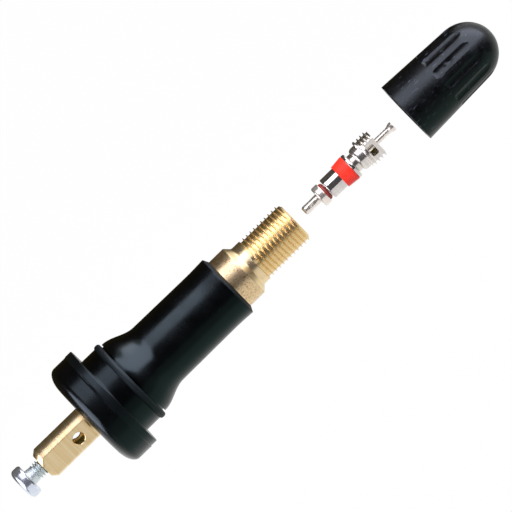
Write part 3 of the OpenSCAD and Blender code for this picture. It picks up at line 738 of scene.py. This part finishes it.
# The pin: rounded tip, spring seat, three shallow grooves, flared and crowned head
def corePin():
    first, last, _ = reach("core_pin")
    _, springLast, _ = reach("core_spring")
    seatX = springLast + core["gap"] / 2
    seatEnd = seatX + pin["seatThick"]
    headX = last - pin["headLen"]
    pinR = core["pinR"]
    half = pin["markHalf"]
    floor = pin["markFloor"]
    groove = [(-half, 0), (-floor, pin["markDeep"]), (floor, pin["markDeep"]), (half, 0)]
    marks = [(headX - pin["markIn"] - pin["markGap"] * k + d, pinR - deep)
             for k in (2, 1, 0) for d, deep in groove]
    return corePiece("corePinHeaded", "core_pin", [
        (first, 0), (first, pinR, 0.1), (seatX, pinR), (seatX, pin["seatR"], 0.06),
        (seatEnd, pin["seatR"], 0.06), (seatEnd, pinR), *marks, (headX, pinR, 0.1),
        (headX + pin["headFlare"], pin["headR"] - 0.05, 0.25, 0.1), (last, pin["headR"], 0.05),
        (last, pinR, 0.1), (last - 0.1, 0)], nickelSatin, loop=False)


corePin()

cup = {"sleeveR": 0.775, "sleeveLen": 3.2, "outerR": 1.85, "corner": 0.35, "wall": 0.25, "crimps": 4,
       "crimpTurn": 20, "crimpDeep": 0.1, "crimpMiddle": 1.7, "crimpHalf": 0.9}


# The drawn cup with the sleeve on the pin; the sleeve has crimp dents, each a smooth dip round one angle
def coreCup():
    angles = roundAngles(core["segments"])
    first, last, _ = reach("core_cup")
    tip = cup["sleeveR"]
    cupX = first + cup["sleeveLen"]
    floorX = cupX + cup["corner"]
    pinEnd = first + tip - core["sideGap"]
    innerR = cup["outerR"] - cup["wall"]
    x, r = profileOf([
        (first, 0), (first, tip, 0.45, 0.1), (cupX, tip, 0.12, 0.1), (cupX, cup["outerR"], cup["corner"]),
        (last, cup["outerR"], 0.2), (last, innerR, 0.05), (floorX + cup["wall"], innerR), (floorX, pinBore),
        (pinEnd, pinBore), (pinEnd, 0)], 0.3)
    along = np.clip(1 - ((x - first - cup["crimpMiddle"]) / cup["crimpHalf"]) ** 2, 0, 1)
    dents = np.clip(np.cos(cup["crimps"] * (angles - math.radians(cup["crimpTurn"]))), 0, 1) ** 2
    onSleeve = (r > tip - 0.05) & (r < tip + 0.02)
    rings = r[:, None] - cup["crimpDeep"] * (along * onSleeve)[:, None] * dents[None]
    return gridPiece("coreCupDrawn", "core_cup", revolve(x, rings, angles), nickelSatin, "plated")


coreCup()

washer = {"crown": 0.3, "below": 0.02}


# The sealing washer that fills the cup and stands out of it with a crowned edge
def cupWasher():
    first, last, r = reach("cup_washer")
    topX = last - washer["below"]
    return corePiece("cupWasherRubber", "cup_washer", [
        (first, pinBore), (first, r, 0.05), (last - washer["crown"], r, 0.2, 0.1),
        (topX, r - washer["crown"], 0.15), (topX, pinBore, 0.05)], brownWasher, "other")


cupWasher()

barrel = {"collarLen": 0.65, "collarRound": 0.3, "edgeRound": 0.25, "springRoomR": 1.4, "floor": 0.6}


# The barrel: rolled lower edge, collar with a crimped lip, spring room and the pocket that the plug's foot
# turns in
def coreBarrel():
    first, last, collarR = reach("core_barrel")
    collarX = last - barrel["collarLen"]
    floorX = first + barrel["floor"]
    lipX = last - core["lip"]
    lipR = core["footNeckR"] + core["sideGap"]
    pocketX = lipX - core["footHeight"] - 2 * core["gap"]
    pocketR = core["footR"] + core["sideGap"]
    return corePiece("coreBarrelRolled", "core_barrel", [
        (first, core["airR"], 0.08), (first, core["barrelR"], barrel["edgeRound"]),
        (collarX, core["barrelR"]), (collarX, collarR, 0.2), (last, collarR, barrel["collarRound"]),
        (last, lipR, 0.06), (lipX, lipR), (lipX, pocketR), (pocketX, pocketR),
        (pocketX, barrel["springRoomR"]), (floorX, barrel["springRoomR"]), (floorX, core["airR"], 0.05)],
        nickelPlate)


coreBarrel()

seal = {"smallR": 2.1, "edge": 0.12}


# The red sealing ring: a short cone with eased edges
def coreSeal():
    first, last, r = reach("core_seal")
    return corePiece("coreSealRing", "core_seal", [
        (first, core["barrelR"]), (first, seal["smallR"], seal["edge"]), (last, r, seal["edge"]),
        (last, core["barrelR"])], redSeal, "other")


coreSeal()

plug = {"waistR": 1.6, "waistLen": 0.75, "bulbR": 2.12, "bulbLen": 1.35, "headR": 2.62, "headEdge": 0.2,
        "rootR": 2.22, "pitch": 0.706, "threadStart": 60, "threadIn": 0.1, "crestFlat": 0.06, "rootFlat": 0.5,
        "roundLen": 1.05, "bridgeHalf": 1.45, "windowHalf": 1.0, "windowLen": 1.25, "windowIn": 0.05,
        "windowRound": 0.35, "windowReach": 2.5, "holeEdge": 0.05, "segments": 288}


# The swivel plug: foot, waist, bulb and threaded head. Above the bridge's floor the radius is held to the
# flats, half thickness / |cos angle|, and a window goes through the bridge.
def corePlug():
    angles = roundAngles(plug["segments"])
    first, last, _ = reach("core_plug")
    footTop = first + core["footHeight"]
    waistX = footTop + core["lip"] + core["gap"] * 2
    bulbX = waistX + plug["waistLen"]
    headX = bulbX + plug["bulbLen"]
    bridgeX = headX + plug["roundLen"]
    headR = plug["headR"]
    edge = plug["headEdge"]
    footX, footR = profileOf([
        (first, core["airR"]), (first, core["footR"], 0.06), (footTop, core["footR"], 0.06),
        (footTop, core["footNeckR"]), (waistX, core["footNeckR"]), (waistX, plug["waistR"], 0.08),
        (bulbX, plug["waistR"])], 0.3)
    t = np.linspace(0, np.pi / 2, 10)
    bulbLineX = bulbX + plug["bulbLen"] / 2 * (1 - np.cos(t))
    bulbLineR = plug["waistR"] + (plug["bulbR"] - plug["waistR"]) * np.sin(t)
    lowerX, lowerR = profileOf([
        (headX, plug["bulbR"]), (headX, headR - edge, 0.04), (headX + edge, headR, 0.05),
        (bridgeX, headR)], 0.05)
    upperX, upperR = profileOf([
        (bridgeX, headR), (last - edge, headR, 0.05), (last, headR - edge, 0.04),
        (last, plug["bridgeHalf"])], 0.05)
    threadX = np.concatenate([lowerX, upperX])
    cut = threadCut(threadX, angles, headX + plug["threadIn"], last + plug["pitch"], plug["pitch"],
                    plug["threadStart"], plug["crestFlat"], plug["rootFlat"])
    headRings = np.minimum(np.concatenate([lowerR, upperR])[:, None], headR - (headR - plug["rootR"]) * cut)
    flats = plug["bridgeHalf"] / np.maximum(np.abs(np.cos(angles)), 1e-6)
    headRings[len(lowerX):] = np.minimum(headRings[len(lowerX):], flats)
    holeR = core["pinR"] + core["sideGap"]
    holeX = bridgeX + plug["windowLen"] / 2
    innerX, innerR = profileOf([
        (last, holeR + plug["holeEdge"]), (last - plug["holeEdge"], holeR), (holeX, holeR),
        (holeX, core["airR"])], 0.4)
    x = np.concatenate([footX, bulbLineX, threadX, innerX])
    lowerRings = plainRings(np.concatenate([footR, bulbLineR]), angles)
    r = np.vstack([lowerRings, headRings, plainRings(innerR, angles)])
    piece = addObject("corePlugSwivel", gridMesh("corePlugSwivel", revolve(x, r, angles), loop=True))
    windowX = bridgeX + plug["windowIn"]
    half = plug["windowHalf"]
    out = plug["windowReach"]
    window = (windowX, windowX + plug["windowLen"], -half, half, -out, out)
    cutAway(piece, [boxCutter("plugWindow", window, plug["windowRound"])])
    return finishPiece(piece, "core_plug", nickelSoft, "plated")


corePlug()

spring = {"wire": 0.28, "turns": 5, "meanR": 0.975, "perTurn": 32, "sides": 12, "sharpAbove": 60,
          "pressed": 1.5}


# The return spring: a round section carried along a helix, its ends closed to a point
def coreSpring():
    first, last, _ = reach("core_spring")
    wireR = spring["wire"] / 2
    path = np.linspace(0, 1, spring["turns"] * spring["perTurn"] + 1)
    path = np.concatenate([[0], path, [1]])
    size = np.ones(len(path)) * wireR
    size[[0, -1]] = 0
    turn = 2 * np.pi * spring["turns"] * path[:, None]
    lean = roundAngles(spring["sides"])[None]
    out = spring["meanR"] + size[:, None] * np.cos(lean)
    x = first + wireR + (last - first - 2 * wireR) * path[:, None] + size[:, None] * np.sin(lean)
    points = np.stack([x, out * np.cos(turn), out * np.sin(turn)], -1)
    piece = gridPiece("coreSpringCoil", "core_spring", points, springSteel, "plated",
                      sharpAbove=spring["sharpAbove"])
    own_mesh(piece)
    return piece


coreSpring()

# The photograph's view: square to the axis, which runs up to the right; the tail's flat leans to the lower
# right
view = {"axisTilt": 44.15, "flatLean": 25.0, "pixelsPerMm": 6.25, "middleX": 31.9, "middleAcross": -0.3,
        "distance": 1500.0, "frame": 512, "sensor": 36}


# Places the camera and gives the picture's own directions: right, up and towards the camera
def addCamera():
    lean = math.radians(view["flatLean"])
    tilt = math.radians(view["axisTilt"])
    along = Vector((1, 0, 0))
    towards = Vector((0, math.sin(lean), math.cos(lean)))
    across = along.cross(towards)
    right = along * math.cos(tilt) + across * math.sin(tilt)
    up = along * math.sin(tilt) - across * math.cos(tilt)
    target = (along * view["middleX"] + across * view["middleAcross"]) * mm
    place = target + towards * view["distance"] * mm
    camera = bpy.data.objects.new("camera", bpy.data.cameras.new("camera"))
    camera.matrix_world = Matrix.Translation(place) @ Matrix((right, up, towards)).transposed().to_4x4()
    camera.data.sensor_width = view["sensor"]
    camera.data.lens = view["sensor"] * view["distance"] / (view["frame"] / view["pixelsPerMm"])
    camera.data.clip_end = 20  # metres
    scene.collection.objects.link(camera)
    scene.camera = camera
    return right, up, towards


right, up, towards = addCamera()
print("camera: lens", round(scene.camera.data.lens), "mm")

studio = {"floorZ": -170.0, "floorHalf": 4000.0, "floorGlow": 0.97, "roomLevel": 0.03, "cardZ": -160.0,
          "cardX": (-600.0, 140.0), "cardY": (-64.0, 3000.0)}


# A level rectangle that belongs to the stage
def flatSheet(name, alongX, alongY, level):
    xs = np.repeat(alongX, 2)
    ys = [*alongY, *reversed(alongY)]
    mesh = bpy.data.meshes.new(name)
    mesh.from_pydata([(x * mm, y * mm, level * mm) for x, y in zip(xs, ys)], [], [(0, 3, 2, 1)])
    sheet = addObject(name, mesh)
    lit["other"].objects.link(sheet)
    return sheet


# White painted floor. The camera, mirrors and glass see it close to plain white, and a part of its own
# shading stays for the valve's shadow.
def addFloor():
    half = studio["floorHalf"]
    floor = flatSheet("floor", (-half, half), (-half, half), studio["floorZ"])
    material, tree, paint, _ = newMaterial("whiteFloorPaint", {
        "Base Color": linear("#f4f4f4"), "Roughness": 1.0})
    ray = addNode(tree, "ShaderNodeLightPath", {}).outputs
    mirrors = addNode(tree, "ShaderNodeMath", {"operation": "MAXIMUM"},
                      {0: ray["Is Glossy Ray"], 1: ray["Is Transmission Ray"]})
    eyes = addNode(tree, "ShaderNodeMath", {"operation": "MAXIMUM"},
                   {0: ray["Is Camera Ray"], 1: mirrors.outputs["Value"]})
    share = addNode(tree, "ShaderNodeMath", {"operation": "MULTIPLY", 1: studio["floorGlow"]},
                    {0: eyes.outputs["Value"]})
    white = addNode(tree, "ShaderNodeEmission", {"Color": (1, 1, 1, 1), "Strength": 1.0})
    mixed = addNode(tree, "ShaderNodeMixShader", {},
                    {0: share.outputs["Value"], 1: paint.outputs["BSDF"], 2: white.outputs["Emission"]})
    tree.links.new(mixed.outputs["Shader"], tree.nodes["Material Output"].inputs["Surface"])
    floor.data.materials.append(material)


addFloor()


# Dark olive card under the valve's upper left side, out of the camera's sight: it gives the black pieces and
# the metals their dark edge
def addCard():
    card = flatSheet("darkCard", studio["cardX"], studio["cardY"], studio["cardZ"])
    material, _, _, _ = newMaterial("darkCard", {
        "Base Color": linear("#2e2808"), "Roughness": 1.0, "Specular IOR Level": 0.0})
    card.data.materials.append(material)
    card.visible_camera = False
    card.visible_shadow = False


addCard()

# Lamps are placed in the picture's own directions, from the middle of the valve. The level is the brightness
# of the lamp's face, where 1 is white. Each lamp stands four times, a little behind itself: the black
# mouldings reflect little and take a strong one, the mirrors a weak one that doesn't burn out.
softbox = {"levels": {"black": 9.4, "brass": 4.6, "plated": 3.2, "other": 4.4},
           "colours": {"black": "#e6e4ff", "brass": "#f2eeff", "plated": "#f4f2ff", "other": "#f4f2ff"}}
dimmerTop = {**softbox, "levels": {**softbox["levels"], "brass": 2.8}}
fill = {"colours": {"black": "#d8fff8", "brass": "#faf8fc", "plated": "#faf8fc", "other": "#faf8fc"}}
lamps = {
    "softboxUpperLeft": {"place": (-275, 350, 580), "facing": (0, -1, 0), "wide": (1, 0, 0),
                         "size": (290, 760), **softbox},
    "softboxTop": {"place": (105, 350, 460), "facing": (0, -1, 0), "wide": (1, 0, 0),
                   "size": (470, 1080), **dimmerTop},
    "softboxLowerLeft": {"place": (-318, -176, 240), "facing": (1, 1, 0), "wide": (1, -1, 0),
                         "size": (420, 600), **softbox},
    "fillLowerRight": {"place": (250, -250, 0), "facing": (-1, 1, 0), "wide": (1, 1, 0), "size": (1000, 400),
                       "levels": {"black": 0.9, "brass": 0.88, "plated": 0.98, "other": 0.95}, **fill},
    "fillRight": {"place": (250, -250, 370), "facing": (-1, 1, 0), "wide": (1, 1, 0), "size": (1000, 340),
                  "levels": {"black": 0.4, "brass": 0.8, "plated": 0.9, "other": 0.65}, **fill}}
behind = {"black": 24.0, "brass": 16.0, "plated": 0.0, "other": 8.0}


# One lamp for one group of things
def addLamp(name, lamp, kind):
    picture = Matrix((right, up, towards)).transposed()
    middle = Vector((view["middleX"] * mm, 0, 0))
    back = -(picture @ Vector(lamp["facing"])).normalized()
    side = (picture @ Vector(lamp["wide"])).normalized()
    light = bpy.data.lights.new(name + kind.title(), "AREA")
    light.shape = "RECTANGLE"
    light.size = lamp["size"][0] * mm
    light.size_y = lamp["size"][1] * mm
    light.energy = lamp["levels"][kind] * math.pi * light.size * light.size_y
    light.color = linear(lamp["colours"][kind])[:3]
    place = middle + picture @ Vector(lamp["place"]) * mm + back * behind[kind] * mm
    body = bpy.data.objects.new(light.name, light)
    turned = Matrix((side, back.cross(side), back)).transposed().to_4x4()
    body.matrix_world = Matrix.Translation(place) @ turned
    body.light_linking.receiver_collection = lit[kind]
    scene.collection.objects.link(body)


for name, lamp in lamps.items():
    for kind in lit:
        addLamp(name, lamp, kind)


# A dim room: white where the camera looks past the floor
def addRoom():
    scene.world = bpy.data.worlds.new("dimRoom")
    scene.world.use_nodes = True
    tree = scene.world.node_tree
    tree.nodes.clear()
    ray = addNode(tree, "ShaderNodeLightPath", {}).outputs
    level = addNode(tree, "ShaderNodeMapRange", {"To Min": studio["roomLevel"], "To Max": 1.0},
                    {"Value": ray["Is Camera Ray"]})
    air = addNode(tree, "ShaderNodeBackground", {"Color": (1, 1, 1, 1)},
                  {"Strength": level.outputs["Result"]})
    addNode(tree, "ShaderNodeOutputWorld", {}, {"Surface": air.outputs["Background"]})


addRoom()
scene.view_settings.view_transform = "Standard"
print("studio ready")
